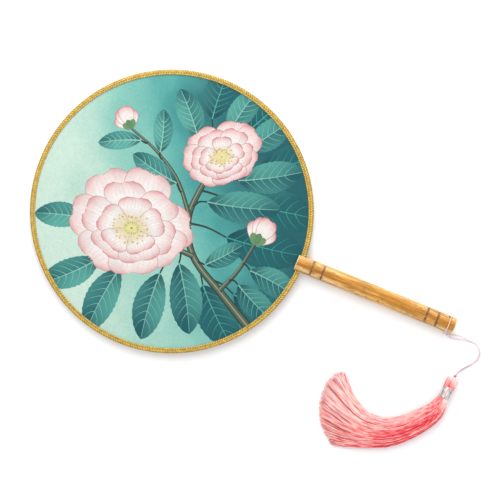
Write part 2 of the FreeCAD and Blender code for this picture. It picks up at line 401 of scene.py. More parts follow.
# Tints: ink, where it starts and is full, as shares of the petal's length, and at the tip its strength
petalSet = {"rimPoints": 18, "rimLine": 0.45, "notch": 0.07, "notchWidth": 0.2, "ruffle": 0.014,
            "tints": [("cream", 0.08, 0.34), ("white", 0.3, 0.6)], "underReach": (0.66, 0.25),
            "tipTints": [("blush", 0.62, 1.04, 1.0), ("rose", 0.88, 1.1, 0.85)], "tipRound": 0.16,
            "tipWaver": 0.02, "sideShade": 0.07, "veins": (-0.72, -0.48, -0.24, 0.0, 0.24, 0.48, 0.72),
            "veinReach": 0.92, "veinWidths": (0.1, 0.28, 0.42)}


def petal(origin, turn, length, width, bend, blush, underShade):
    ruffle = drawing.uniform(0, 6)

    def reach(share):
        # the curve's own peak is 0.68
        return width / 2 * share ** 0.7 * np.sqrt(np.maximum(1 - share ** 4, 0)) / 0.68

    def outlineOf(grow):
        share = np.sin(np.linspace(0, math.pi / 2, petalSet["rimPoints"]))
        rims = []
        for side in (1, -1):
            across = side * (reach(share) + grow * np.minimum(1, share * 6))
            notch = petalSet["notch"] * np.exp(-(across / (petalSet["notchWidth"] * width)) ** 2)
            notch += petalSet["ruffle"] * np.sin(across * 1.1 + ruffle)
            along = (share - notch * share ** 8) * length + grow * share ** 6
            rims.append(np.column_stack([along, bend * length * share ** 2 + across]))
        return between(*rims)

    def paint(places):
        share, across = bladeShares(places, length, bend, reach)
        colour = inks["heart"]
        for ink, low, high in petalSet["tints"]:
            colour = mixed(colour, inks[ink], smooth(low, high, share))
        colour = mixed(colour, inks["underPetal"], underShade * smooth(*petalSet["underReach"], share))
        tip = share + petalSet["tipRound"] * across ** 2 + petalSet["tipWaver"] * np.sin(across * 9)
        for ink, low, high, strength in petalSet["tipTints"]:
            colour = mixed(colour, inks[ink], blush * strength * smooth(low, high, tip))
        return colour * (1 - petalSet["sideShade"] * smooth(0.1, 1.0, -across))[:, None]

    rimInk = mixed(inks["blush"], inks["roseDeep"], 0.35 + 0.4 * blush)
    veinInk = mixed(inks["cream"], inks["blush"], 0.3 + 0.5 * blush)
    addShape(outlineOf(petalSet["rimLine"]), flatInk(rimInk), origin, turn)
    addShape(outlineOf(0.0), paint, origin, turn)
    for across in petalSet["veins"]:
        share = np.linspace(0.42 + 0.1 * abs(across), 0.965 - 0.16 * across ** 2, 6)
        line = bladeLine(share, across * reach(share) * petalSet["veinReach"], length, bend)
        brushLine(line, petalSet["veinWidths"], veinInk, origin, turn)


# Shares are of the bloom's radius, widths in mm
bloomSet = {"startShare": 0.05, "lean": 0.14, "underShade": 0.7, "eyeShare": 0.13, "stamens": 38,
            "stamenShares": (0.17, 0.33), "stamenWidths": (0.7, 0.4), "antherHalves": (1.0, 0.7)}


def bloom(centre, radius, flatten, tiltDeg, rings):
    # rings of petals, the back ones first, then the stamens
    for count, lengthShare, widthShare, startDeg, blush in rings:
        angles = [startDeg + k * 360 / count for k in range(count)]
        for angleDeg in sorted(angles, key=lambda a: -math.sin(math.radians(a))):
            lean = 1 + bloomSet["lean"] * math.sin(math.radians(angleDeg))
            turn = turned(angleDeg + drawing.uniform(-5, 5), flatten, tiltDeg)
            origin = np.array(centre) + turn @ np.array([bloomSet["startShare"] * radius, 0])
            length = radius * lengthShare * lean * drawing.uniform(0.95, 1.05)
            width = radius * widthShare * drawing.uniform(0.94, 1.06)
            petal(origin, turn, length, width, drawing.uniform(-0.1, 0.1), blush, bloomSet["underShade"])
    around = np.linspace(0, 6, 20)
    eye = np.column_stack([np.cos(around), np.sin(around)]) * bloomSet["eyeShare"] * radius
    addShape(eye, flatInk(inks["pistil"]), centre, turned(0, flatten, tiltDeg))
    around = np.linspace(0, 2 * math.pi, 8, endpoint=False)
    long, wide = bloomSet["antherHalves"]
    for k in range(bloomSet["stamens"]):
        turn = turned(k * 360 / bloomSet["stamens"] + drawing.uniform(-4, 4), flatten, tiltDeg)
        reach = radius * drawing.uniform(*bloomSet["stamenShares"])
        end = (reach, drawing.uniform(-0.1, 0.1) * reach)
        stem = curveThrough([(0.02 * radius, 0), (0.6 * reach, 0.03 * reach), end], 3)
        brushLine(stem, bloomSet["stamenWidths"], inks["stamen"], centre, turn)
        anther = np.column_stack([reach + long * np.cos(around), wide * np.sin(around)])
        antherInk = mixed(inks["anther"], inks["stamen"], drawing.uniform(0, 0.5))
        addShape(anther, flatInk(antherInk), centre, turn)


# Tones: 0 is the dark leaf ink, 1 the light one
leafSet = {"stalkWidths": (1.9, 1.3), "rimPoints": 26, "teeth": 11, "toothDepth": 0.035,
           "halfTones": (0.62, 0.2), "rimLight": 0.25, "tipShade": 0.35, "nightFoot": 0.75, "nightTip": 0.3,
           "ribStarts": (0.1, 0.22, 0.34, 0.46, 0.58, 0.7), "ribRun": 0.17, "ribReach": 0.84,
           "ribWidths": (0.5, 0.3, 0.1), "spineWidths": (1.1, 0.7, 0.3)}


def leaf(stem, origin, angleDeg, length, width, bend, tone):
    turn = turned(angleDeg)
    knee = (np.array(stem) + origin) / 2 + turn @ np.array([-0.02, 0.03]) * length
    brushLine(curveThrough([stem, knee, origin], 4), leafSet["stalkWidths"], inks["barkDark"])

    def reach(share):
        # the curve's own peak is 0.37
        return width / 2 * share ** 0.75 * np.maximum(1 - share, 0) ** 0.7 / 0.37

    def paint(places):
        share, across = bladeShares(places, length, bend, reach)
        shade = np.where(across > 0, *leafSet["halfTones"]) + leafSet["rimLight"] * np.abs(across)
        shade = shade - leafSet["tipShade"] * smooth(0.5, 1.0, share) + tone
        colour = mixed(inks["leafDark"], inks["leafLight"], np.clip(shade, 0, 1))
        night = leafSet["nightFoot"] * smooth(0.35, 0.0, share)
        night = night + leafSet["nightTip"] * smooth(0.55, 1, share)
        return mixed(colour, inks["night"], night)

    share = np.linspace(0, 1, leafSet["rimPoints"])
    rim = reach(share) * (1 + leafSet["toothDepth"] * np.sin(share * 2 * math.pi * leafSet["teeth"]))
    outline = between(bladeLine(share, rim, length, bend), bladeLine(share, -rim, length, bend))
    addShape(outline, paint, origin, turn)
    ribInk = mixed(inks["leafRib"], inks["leafLight"], 0.45 - tone)
    step = np.linspace(0, 1, 5)
    for side in (1, -1):
        for start in leafSet["ribStarts"]:
            share = start + leafSet["ribRun"] * step ** 1.3
            rib = bladeLine(share, side * leafSet["ribReach"] * step * reach(share), length, bend)
            brushLine(rib, leafSet["ribWidths"], ribInk, origin, turn)
    spine = bladeLine(np.linspace(0, 0.97, 9), 0, length, bend)
    brushLine(spine, leafSet["spineWidths"], ribInk, origin, turn)


def twig(points, widths):
    # dark bark, then a lit side and a thin highlight, each shifted towards the light
    line = curveThrough(points, 8)
    for shift, share, ink in (((0, 0), 1.25, "barkDark"), ((-0.2, 0.35), 0.85, "bark"),
                              ((-0.5, 0.8), 0.22, "barkLight")):
        brushLine(line + np.array(shift), [w * share for w in widths], inks[ink])


# Petals: turn in degrees and share of the bud's length. Widths and the sepals' length are shares of it too
budSet = {"petals": ((24, 0.82), (-26, 0.8), (8, 0.96), (-10, 1.0)), "petalWidth": 0.62, "bend": 0.06,
          "underShade": 0.2, "sepalTurns": (38, -38, 0), "sepalLength": 0.42, "sepalWidth": 0.13}


def bud(origin, angleDeg, length, blush):
    width = length * budSet["petalWidth"]
    for turnDeg, share in budSet["petals"]:
        bend = budSet["bend"] * math.copysign(1, -turnDeg)
        turn = turned(angleDeg + turnDeg)
        petal(origin, turn, length * share, width, bend, blush, budSet["underShade"])
    share = np.linspace(0, 1, 9)
    reach = budSet["sepalWidth"] * length * np.sqrt(np.maximum(share * (1 - share), 0)) * 2
    along = share * length * budSet["sepalLength"]
    sepal = between(np.column_stack([along, reach]), np.column_stack([along, -reach]))
    for turnDeg in budSet["sepalTurns"]:
        sepalInk = mixed(inks["sepal"], inks["leafDark"], 0.2 + 0.2 * (turnDeg == 0))
        addShape(sepal, flatInk(sepalInk), origin, turned(angleDeg + turnDeg))


# Bands of the wash: ink, where it starts and is full, and its strength
washSet = {"rightward": 0.95, "upward": 0.2, "drift": 26.0, "driftSize": 60.0,
           "bands": [("seaGreen", -80, -10, 1.0), ("teal", -30, 35, 1.0), ("deepTeal", 5, 80, 0.95)]}


def wash(places):
    # thin colour run from pale mint at the left to deep teal at the right
    cells = [Vector((u / washSet["driftSize"], v / washSet["driftSize"], 0.3)) for u, v in places]
    drift = np.array([noise.fractal(cell, 1.0, 2.0, 4) for cell in cells])
    depth = washSet["rightward"] * places[:, 0] + washSet["upward"] * places[:, 1] + washSet["drift"] * drift
    colour = inks["mint"]
    for ink, low, high, strength in washSet["bands"]:
        colour = mixed(colour, inks[ink], strength * smooth(low, high, depth))
    return colour


faceRadius = (silkHigh.x - silkLow.x) / 2 / mm
rimAngles = np.linspace(0, 2 * math.pi, silkSet["rimPoints"], endpoint=False)
addShape(np.column_stack([np.cos(rimAngles), np.sin(rimAngles)]) * faceRadius, wash)

# Leaves: where the stalk starts, where the leaf does, way in degrees, length, width, bend and tone.
# Those in the shade lie behind the twigs
shadeLeaves = [
    [(34, -58), (52, -70), -30, 62, 34, 0.1, -0.75], [(24, 18), (58, 4), -4, 66, 36, -0.1, -0.7],
    [(40, 44), (62, 66), 38, 58, 32, 0.1, -0.7], [(18, -38), (26, -62), -70, 60, 32, 0.1, -0.65],
    [(15, -10), (46, -22), -18, 68, 36, 0.08, -0.8], [(30, 30), (72, 34), 8, 60, 32, 0.12, -0.8],
    [(40, 46), (34, 78), 76, 46, 27, -0.1, -0.6]]
litLeaves = [
    [(-4, -31), (-10, -52), -112, 58, 27, 0.10, -0.05], [(-40, -30), (-62, -40), -150, 52, 25, -0.12, 0.1],
    [(-30, -30), (-44, -48), -125, 60, 27, 0.12, 0.0], [(-60, -10), (-72, -6), 168, 44, 22, 0.1, 0.2],
    [(6, -33), (6, -44), -76, 60, 28, -0.1, -0.15], [(22, -43), (28, -45), 22, 36, 18, 0.1, -0.05],
    [(48, -58), (56, -62), -52, 44, 23, 0.1, -0.2], [(60, -44), (66, -50), -24, 46, 23, -0.1, -0.12],
    [(18, 4), (30, 8), -12, 62, 28, 0.1, -0.1], [(30, 30), (56, 26), 2, 56, 27, 0.1, -0.05],
    [(44, 46), (62, 52), 28, 48, 24, 0.1, -0.02], [(42, 50), (48, 66), 62, 46, 22, -0.12, 0.08],
    [(34, 44), (22, 62), 104, 44, 22, 0.1, 0.12], [(8, 16), (4, 24), 152, 44, 20, -0.1, 0.18],
    [(-8, 44), (-10, 50), 78, 36, 17, 0.12, 0.2], [(-20, 58), (-26, 60), 176, 36, 16, 0.12, 0.3]]
for place in shadeLeaves:
    leaf(*place)
twig([(66, -100), (42, -70), (18, -38), (14, -6), (26, 22), (40, 44)], (6.5, 5.0, 4.2, 3.2))
twig([(18, -38), (0, -30), (-22, -20)], (3.8, 3.0))
twig([(15, -4), (4, 28), (-14, 52), (-34, 70)], (3.2, 2.2, 1.6))
twig([(40, -67), (56, -50), (70, -28)], (3.4, 2.0))
for place in litLeaves:
    leaf(*place)
bud((70, -28), 62, 25, 0.95)
bud((-34, 70), 118, 20, 0.9)
# Each ring of petals: count, length and width as shares of the radius, first petal in degrees, blush
bloom((-34, -14), 50, 0.86, 80,
      [(7, 1.0, 0.86, 12, 0.62), (6, 0.76, 0.7, 40, 0.75), (5, 0.52, 0.54, 10, 0.85)])
bloom((42, 46), 33, 0.8, 110,
      [(7, 1.0, 0.86, 30, 0.8), (6, 0.74, 0.68, 0, 0.9), (5, 0.5, 0.52, 24, 1.0)])

# The outlines and a grid of points are joined into triangles, and each takes the ink of its top shape
inside = faceRadius - silkSet["rimMargin"]
step = silkSet["gridStep"]
corners2d = [Vector(p) for shape in shapes for p in shape["outline"]]
loops, count = [], 0
for shape in shapes:
    loops.append(list(range(count, count + len(shape["outline"]))))
    count += len(shape["outline"])
rowCount = int(inside / (step * silkSet["rowShare"]))
columnCount = int(inside / step)
for row in range(-rowCount, rowCount + 1):
    for column in range(-columnCount, columnCount + 1):
        u, v = (column + 0.5 * (row % 2)) * step, row * step * silkSet["rowShare"]
        if math.hypot(u, v) < inside:
            aside, above = (drawing.uniform(-silkSet["jitter"], silkSet["jitter"]) for _ in range(2))
            corners2d.append(Vector((u + aside, v + above)))
flat2d, _, triangles, _, _, owners = geometry.delaunay_2d_cdt(corners2d, [], loops, 1, 1e-4, True)
kept = [(face, max(owner)) for face, owner in zip(triangles, owners) if 0 in owner]
flatPlaces = np.array([tuple(p) for p in flat2d])
topFaces = np.array([face for face, _ in kept])
topOwner = np.array([owner for _, owner in kept])
printInk = np.zeros((len(kept), 3, 3))
for index, shape in enumerate(shapes):
    mine = topOwner == index
    if mine.any():
        local = (flatPlaces[topFaces[mine].ravel()] - shape["origin"]) @ shape["back"].T
        printInk[mine] = np.asarray(shape["paint"](local)).reshape(-1, 3, 3)
print("print drawn:", len(shapes), "shapes,", len(kept), "triangles")

# Plain-weave silk, printed: soft matt colour, a faint sheen, slubs along both threads.
# The threads lie 0.12 mm apart, too fine to show, so the weave is drawn at 0.5 mm
silkWeave = {"thread": 0.5 * mm, "slubLength": 9.0 * mm, "slubWidth": 0.7 * mm, "grain": 1.6 * mm}
waveAtScaleOne = 0.314  # how long one wave of a Wave texture is at scale 1
silk, tree = newMaterial("printedPlainWeaveSilk", Roughness=0.62, IOR=1.45, Specular_IOR_Level=0.2,
                         Sheen_Weight=0.04)
where = addNode(tree, "TexCoord").outputs["Object"]
ink = addNode(tree, "Attribute", attribute_name="printInk")
weight = addNode(tree, "TexNoise", {"Vector": where, "Scale": 1 / silkWeave["grain"], "Detail": 4.0})
for long in (0, 1):
    stretch = [1 / silkWeave["slubWidth"]] * 3
    stretch[long] = 1 / silkWeave["slubLength"]
    along = addNode(tree, "VectorMath", [where, stretch], operation="MULTIPLY")
    slub = addNode(tree, "TexNoise", {"Vector": along, "Scale": 1.0, "Detail": 2.0})
    weight = addNode(tree, "Math", [slub, weight], operation="ADD")
tone = addNode(tree, "MapRange", [weight, 1.05, 1.95, 0.57, 0.70])
colour = addNode(tree, "VectorMath", {0: ink.outputs["Color"], "Scale": tone}, operation="SCALE")
waves = []
for way in ("X", "Y"):
    wave = addNode(tree, "TexWave", {"Vector": where, "Scale": waveAtScaleOne / silkWeave["thread"],
                                     "Distortion": 0.6}, bands_direction=way)
    waves.append(wave.outputs["Fac"])
weave = addNode(tree, "Math", waves, operation="MAXIMUM")
bump = addNode(tree, "Bump", {"Strength": 0.12, "Distance": 0.06 * mm, "Height": weave})
dress(tree, colour.outputs[0], bump)


def discPoint(right, up, height):
    spot = discCentre + (pictureRight * right + pictureUp * up) * mm
    return Vector((spot.x, spot.y, height))


def silkFace(name, outer, inner, colours):
    # the printed side is triangles, the glued side is one face, and a narrow wall joins them
    facing = 1 if outer > inner else -1
    used = np.unique(topFaces)
    number = np.full(len(flatPlaces), -1)
    number[used] = np.arange(len(used))
    places = flatPlaces[used]
    reach = np.linalg.norm(places, axis=1) / faceRadius
    sag = np.array([noise.noise(Vector((u, v, 0)) / silkSet["slackWave"]) for u, v in places])
    sag = (sag - 1) * silkSet["slack"] * mm * (1 - reach ** 4)
    points = [discPoint(u, v, outer + facing * s) for (u, v), s in zip(places, sag)]
    faces = [tuple(f[::facing]) for f in number[topFaces]]
    once = {}  # edges that only one triangle has, which make the rim
    for face in faces:
        for a, b in zip(face, face[1:] + face[:1]):
            if once.pop((b, a), None) is None:
                once[(a, b)] = True
    follow = {a: b for a, b in once}
    rim = [next(iter(follow))]
    while follow[rim[-1]] != rim[0]:
        rim.append(follow[rim[-1]])
    lower = {a: len(points) + k for k, a in enumerate(rim)}
    points += [Vector((points[a].x, points[a].y, inner)) for a in rim]
    for a, b in zip(rim, rim[1:] + rim[:1]):
        faces.append((b, a, lower[a], lower[b]))
    faces.append(tuple(lower[a] for a in reversed(rim)))
    piece = meshPiece(name, points, faces, silk)
    # plain mint for each point of the rim: four corners of the wall and one of the glued side
    plain = np.broadcast_to(inks["mint"], (len(rim) * 5, 3))
    cornerInk = np.vstack([colours[:, ::facing].reshape(-1, 3), plain])
    cornerInk = np.column_stack([cornerInk, np.ones(len(cornerInk))]).astype(np.float32)
    layer = piece.data.color_attributes.new("printInk", "FLOAT_COLOR", "CORNER")
    layer.data.foreach_set("color", cornerInk.ravel())
    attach(piece, "fan")
    return piece


frontSilk = silkFace("frontSilk", silkHigh.z, silkLow.z, printInk)
standsFor(frontSilk, "printed_silk", "front_silk")
backLow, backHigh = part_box("back_silk")
paleInk = mixed(printInk, inks["mint"], np.full((len(kept), 3), silkSet["paleShare"]))
backSilk = silkFace("backSilk", backLow.z, backHigh.z, paleInk)
standsFor(backSilk, "printed_silk", "back_silk")
print("silk faces ready")

# Edge braid: a plaited band folded over the rim, in columns of slanting strands like ears of wheat.
# Its outside in mm, from the front hem to the middle of the rim: distance in from the rim, height over
# the middle
braidSet = {"profile": [(4.45, 1.43), (4.68, 1.75), (4.35, 2.15), (3.4, 2.2), (2.2, 2.2), (1.1, 2.2),
                        (0.35, 1.85), (0.02, 1.1), (0.0, 0.0)],
            "profileSteps": 12, "pointsAcross": 44, "wall": 0.8, "columns": 6, "columnDip": 0.55,
            "strands": 342, "stepsPerStrand": 5, "slant": 0.95, "depth": 0.5, "fleck": 2.4, "filament": 0.25}
rimRadius = (braidHigh.y - braidLow.y) / 2 / mm
half = np.array(braidSet["profile"])
outside = curveThrough(np.vstack([half, (half * (1, -1))[-2::-1]]), braidSet["profileSteps"])
reachAlong = runsAlong(outside)
share = np.linspace(0, 1, braidSet["pointsAcross"])
outside = np.column_stack([np.interp(share * reachAlong[-1], reachAlong, outside[:, k]) for k in (0, 1)])
ways = np.gradient(outside, axis=0)
normals = np.column_stack([ways[:, 1], -ways[:, 0]]) / np.linalg.norm(ways, axis=1)[:, None]
if normals[len(normals) // 2][0] > 0:
    normals = -normals
column = np.minimum(share * braidSet["columns"], braidSet["columns"] - 1e-6)
across = (column % 1) * 2 - 1
lean = np.where(np.floor(column) % 2 == 0, 1, -1) * braidSet["slant"] * across / 2
steps = braidSet["strands"] * braidSet["stepsPerStrand"]
strand = np.arange(steps)[:, None] / braidSet["stepsPerStrand"] + lean[None, :]
ridge = np.sqrt(np.maximum(1 - (2 * (strand % 1) - 1) ** 2, 0)) * (1 - braidSet["columnDip"] * across ** 6)
drawn = outside[None, :, :] - normals[None, :, :] * (braidSet["depth"] * (1 - ridge))[:, :, None]
channel = np.array([(braidSet["wall"], -half[0][1]), (braidSet["wall"], half[0][1])])
drawn = np.concatenate([drawn, np.broadcast_to(channel, (steps, 2, 2))], axis=1)
angles = np.arange(steps)[:, None] * 2 * math.pi / steps
radius = (rimRadius - drawn[:, :, 0]) * mm
points = np.stack([discCentre.x + radius * np.cos(angles), discCentre.y + radius * np.sin(angles),
                   axisHeight + drawn[:, :, 1] * mm], axis=2).reshape(-1, 3)
rowLength = drawn.shape[1]
faces = []
for ring in range(steps):
    a, b = ring * rowLength, (ring + 1) % steps * rowLength
    for k in range(rowLength):
        n = (k + 1) % rowLength
        faces.append((a + k, b + k, b + n, a + n))

# Viscose and metallised thread, plaited: warm gold with a soft glint on each strand, painted paler on its
# crest, a painted highlight, and painted brown in the gaps, painted shade
braid, tree = newMaterial("plaitedGoldThread", Roughness=0.42, Metallic=0.15, Sheen_Weight=0.2,
                          Sheen_Roughness=0.4)
where = addNode(tree, "TexCoord").outputs["Object"]
height = addNode(tree, "Attribute", attribute_name="ridge").outputs["Fac"]
# the strand's height sets the colour: painted shade in the gaps between strands, painted highlight on their
# crests
tint = addNode(tree, "ValToRGB", [height],
               [(0.1, "#583E14"), (0.45, "#916C22"), (0.75, "#B18B2E"), (1.0, "#CDB24E")])
fleck = addNode(tree, "TexNoise", {"Vector": where, "Scale": 1 / (braidSet["fleck"] * mm), "Detail": 2.0})
level = addNode(tree, "MapRange", [fleck, 0.3, 0.7, 0.7, 1.2])
colour = addNode(tree, "VectorMath", {0: tint, "Scale": level}, operation="SCALE")
filament = addNode(tree, "TexNoise", {"Vector": where, "Scale": 1 / (braidSet["filament"] * mm)})
bump = addNode(tree, "Bump", {"Strength": 0.3, "Distance": 0.08 * mm, "Height": filament})
dress(tree, colour.outputs[0], bump)
edgeBraid = meshPiece("edgeBraid", points, faces, braid)
pointValues(edgeBraid, ridge=np.pad(ridge, ((0, 0), (0, len(channel)))).ravel())
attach(edgeBraid, "fan")
standsFor(edgeBraid, "gold_braid", "edge_braid")
print("braid:", len(faces), "faces")


def finishNode(name, material):
    # a CAD solid that shows as it is takes its finish
    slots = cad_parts[name].data.materials
    slots.clear()
    slots.append(material)


# Handle: the turned stick keeps its CAD shape. Sizes in mm: grooves from the end that they are near,
# burns and painted shade by core and reach, marks in the wood by length and width. Painted light tones run
# across the stick
handleSet = {"headGrooves": (14.0, 23.9), "tailGrooves": (16.3, 26.0), "scorch": (0.45, 1.4),
             "hole": (1.5, 2.3), "darkSpot": (0.8, 1.4), "spotPlace": (120.3, -4.75, 12.1), "patch": 2.2,
             "sootReach": 7.0, "sootGain": 0.075, "fibreWeight": 0.7, "paintedLightWeight": 0.45,
             "marks": {"fibre": (22.0, 0.8), "band": (85.0, 3.8), "fleck": (4.5, 0.85),
                       "blotch": (16.0, 4.5)},
             "paintedLightTones": [(0.0, 0.35), (0.07, 0.75), (0.22, 0.8), (0.45, 0.22), (0.62, 0.3), (0.8, 0.8),
                           (0.93, 0.95), (1.0, 0.45)]}
# Bamboo, turned and sanded, under thin satin varnish: long straight fibres, honey to tan, scorched in
# the grooves
bamboo, tree = newMaterial("turnedBambooVarnished", Roughness=0.48, IOR=1.5, Specular_IOR_Level=0.35,
                           Coat_Weight=0.12, Coat_Roughness=0.35)
where = addNode(tree, "TexCoord").outputs["Object"]
place = addNode(tree, "SeparateXYZ", [where])
marks = {}
for name, (long, wide) in handleSet["marks"].items():
    stretch = (1 / (long * mm), 1 / (wide * mm), 1 / (wide * mm))
    stretched = addNode(tree, "VectorMath", [where, stretch], operation="MULTIPLY")
    marks[name] = addNode(tree, "TexNoise", {"Vector": stretched, "Scale": 1.0, "Detail": 3.0})
# painted light across the stick: darkest near its middle and paler to both sides, a painted highlight in a
# band near each side, with painted shade at both edges
wall = addNode(tree, "MapRange", [place.outputs["Y"], -handleRadius, handleRadius])
paintedLightAcross = addNode(tree, "FloatCurve", {"Value": wall})
toneCurve = paintedLightAcross.mapping.curves[0]
toneCurve.points[0].location = handleSet["paintedLightTones"][0]
toneCurve.points[1].location = handleSet["paintedLightTones"][-1]
for spot in handleSet["paintedLightTones"][1:-1]:
    toneCurve.points.new(*spot)
paintedLightAcross.mapping.update()
grain = marks["band"]
for layer, weight in ((marks["fibre"], handleSet["fibreWeight"]), (paintedLightAcross, handleSet["paintedLightWeight"])):
    grain = addNode(tree, "Math", [layer, weight, grain], operation="MULTIPLY_ADD")
spread = addNode(tree, "MapRange", [grain, 0.7, 1.4])
tint = addNode(tree, "ValToRGB", [spread],
               [(0.05, "#844E0E"), (0.33, "#B6771A"), (0.62, "#CE9439"), (0.95, "#E2C08A")])
stain = addNode(tree, "MapRange", [marks["blotch"], 0.46, 0.62, 0.0, 0.7])
grooves = [handleLow.x + g * mm for g in handleSet["headGrooves"]]
grooves += [handleHigh.x - g * mm for g in handleSet["tailGrooves"]]
nearest = None
for grooveX in grooves:
    offset = addNode(tree, "Math", [place.outputs["X"], grooveX], operation="SUBTRACT")
    away = addNode(tree, "Math", [offset], operation="ABSOLUTE")
    nearest = addNode(tree, "Math", [nearest, away], operation="MINIMUM") if nearest else away
# dark flecks, more of them where soot settled near the grooves
soot = addNode(tree, "MapRange", [nearest, 0.0, handleSet["sootReach"] * mm, handleSet["sootGain"], 0.0])
flecked = addNode(tree, "Math", [marks["fleck"], soot], operation="ADD")
speck = addNode(tree, "MapRange", [flecked, 0.57, 0.66, 0.0, 0.7])
# the cut ends and bevels show paler end grain
facing = addNode(tree, "SeparateXYZ", [addNode(tree, "NewGeometry").outputs["True Normal"]])
endward = addNode(tree, "Math", [facing.outputs["X"]], operation="ABSOLUTE")
cutEnd = addNode(tree, "MapRange", [endward, 0.6, 0.7, 0.0, 0.8])
# the grooves and one dark spot are scorched; the same dark brown round the hole's mouths is painted shade
holeLean = math.radians(cordSet["holeLeanDeg"])
holeWay = (0, math.cos(holeLean), math.sin(holeLean))
holeMiddle = holePlace + Vector((0, 0, axisHeight))
spotPlace = Vector(handleSet["spotPlace"]) * mm
fromHole = addNode(tree, "VectorMath", [where, holeMiddle], operation="SUBTRACT")
offAxis = addNode(tree, "VectorMath", [fromHole, holeWay], operation="CROSS_PRODUCT")
holeAway = addNode(tree, "VectorMath", [offAxis], operation="LENGTH").outputs["Value"]
spotAway = addNode(tree, "VectorMath", [where, spotPlace], operation="DISTANCE").outputs["Value"]
scorchAndHoleShade = None
for away, mark in ((nearest, "scorch"), (holeAway, "hole"), (spotAway, "darkSpot")):
    core, reach = handleSet[mark]
    darkening = addNode(tree, "MapRange", [away, core * mm, reach * mm, 1.0, 0.0],
                    interpolation_type="SMOOTHSTEP")
    scorchAndHoleShade = addNode(tree, "Math", [scorchAndHoleShade, darkening], operation="MAXIMUM") if scorchAndHoleShade else darkening
patchy = addNode(tree, "TexNoise", {"Vector": where, "Scale": 1 / (handleSet["patch"] * mm)})
uneven = addNode(tree, "MapRange", [patchy, 0.35, 0.65, 0.5, 0.95])
scorchAndHoleShade = addNode(tree, "Math", [scorchAndHoleShade, uneven], operation="MULTIPLY")
colour = tint.outputs[0]
# the last layer's dark brown is scorch in the grooves and the spot, and painted shade round the hole's
# mouths
for share, hexCode in ((stain, "#9C6B1D"), (speck, "#84511C"), (cutEnd, "#F3DDB4"), (scorchAndHoleShade, "#5A2E08")):
    layered = addNode(tree, "Mix", {mixShare: share, mixFrom: colour, mixTo: linear(hexCode)},
                      data_type="RGBA")
    colour = layered.outputs[mixResult]
bump = addNode(tree, "Bump", {"Strength": 0.25, "Distance": 0.08 * mm, "Height": marks["fibre"]})
dress(tree, colour, bump)
finishNode("handle", bamboo)

# Bamboo, split and bent, bare: pale, with straight fibres round the ring
hoopSet = {"fibreWidth": 0.6 * mm}
hoopBamboo, tree = newMaterial("splitBambooBare", Roughness=0.6, IOR=1.5)
where = addNode(tree, "TexCoord").outputs["Object"]
fromMiddle = addNode(tree, "VectorMath", [where, discCentre], operation="DISTANCE").outputs["Value"]
fibre = addNode(tree, "TexNoise", {"W": fromMiddle, "Scale": 1 / hoopSet["fibreWidth"], "Detail": 3.0},
                noise_dimensions="1D")
tint = addNode(tree, "ValToRGB", [fibre], [(0.3, "#C9A568"), (0.7, "#E6CB95")])
dress(tree, tint.outputs[0])
finishNode("hoop", hoopBamboo)
print("bamboo finishes ready")

# Tassel: its axis leans away from the knot, nearly square to the handle.
# Distances in mm, down from the head's top
tasselSet = {"leanDeg": 7.0, "knotToTop": 0.9, "headLength": 10.0, "collarLength": 10.0}
tasselLean = math.radians(tasselSet["leanDeg"])
tasselDown = Vector((-math.sin(tasselLean), -math.cos(tasselLean), 0))
tasselAcross = Vector((math.cos(tasselLean), -math.sin(tasselLean), 0))
upward = Vector((0, 0, 1))
collarFoot = tasselSet["headLength"] + tasselSet["collarLength"]


def tasselPlace(down, across, rise):
    offset = tasselDown * (tasselSet["knotToTop"] + down) + tasselAcross * across + upward * rise
    return knotCentre + offset * mm


def tasselPoint(down, radius, angle):
    return tasselPlace(down, radius * math.cos(angle), radius * math.sin(angle))


def turnedPiece(name, rows, material, ring=False):
    # rows of points round the tassel's axis, joined into one closed skin: a ring, or a form with two ends
    points = [point for row in rows for point in row]
    around = len(rows[0])
    faces = []
    for row in range(len(rows) if ring else len(rows) - 1):
        a, b = row * around, (row + 1) % len(rows) * around
        for k in range(around):
            n = (k + 1) % around
            faces.append((a + k, a + n, b + n, b + k))
    if not ring:
        faces.append(tuple(range(around - 1, -1, -1)))
        faces.append(tuple(range(len(points) - around, len(points))))
    return meshPiece(name, points, faces, material)


# Viscose embroidery thread, spun bright: coral with a soft gloss, painted paler where it leaves the collar,
# a painted highlight, and paler towards the tips. Its fibres are too fine to show and are drawn 0.35 mm
# wide. Pale and red flecks streak it, wider than one thread, so that they show.
# Streaks of the closed skirt and of the open fan: flecks across, flecks along, contrast, lightening
threadSet = {"fibre": 0.35 * mm, "streaks": ((34, 24, 2.8, 0.0), (124, 18, 4.3, 0.2)),
             "opening": (0.45, 0.75), "streakShare": 0.55}
thread, tree = newMaterial("brightViscoseThread", Roughness=0.38, IOR=1.5)
tone, along, across = (addNode(tree, "Attribute", attribute_name=name).outputs["Fac"]
                       for name in ("threadTone", "threadAlong", "threadAcross"))
# the ramp starts pale where the threads leave the collar: a painted highlight
body = addNode(tree, "ValToRGB", [along],
               [(0.15, "#FFE2D6"), (0.2, "#FFC4B8"), (0.29, "#F2606A"), (0.42, "#EA3446"), (0.64, "#EA3E4C"),
                (0.82, "#FA9E98"), (0.94, "#FFCEC6"), (0.975, "#F8C8C4"), (1.0, "#CCA0A0")])
place = addNode(tree, "CombineXYZ", [across, along])
streaks = []
for cellsAcross, cellsAlong, gain, paler in threadSet["streaks"]:
    cells = addNode(tree, "Mapping", {"Vector": place, "Scale": (cellsAcross, cellsAlong, 1)})
    fleck = addNode(tree, "TexNoise", {"Vector": cells, "Scale": 1.0, "Detail": 1.0})
    streaks.append(addNode(tree, "Math", [fleck, gain, paler - gain / 2], operation="MULTIPLY_ADD"))
opened = addNode(tree, "MapRange", [along, *threadSet["opening"]])
streak = addNode(tree, "Mix", {0: opened, 2: streaks[0], 3: streaks[1]})
shade = addNode(tree, "Math", [tone, streak], operation="ADD")
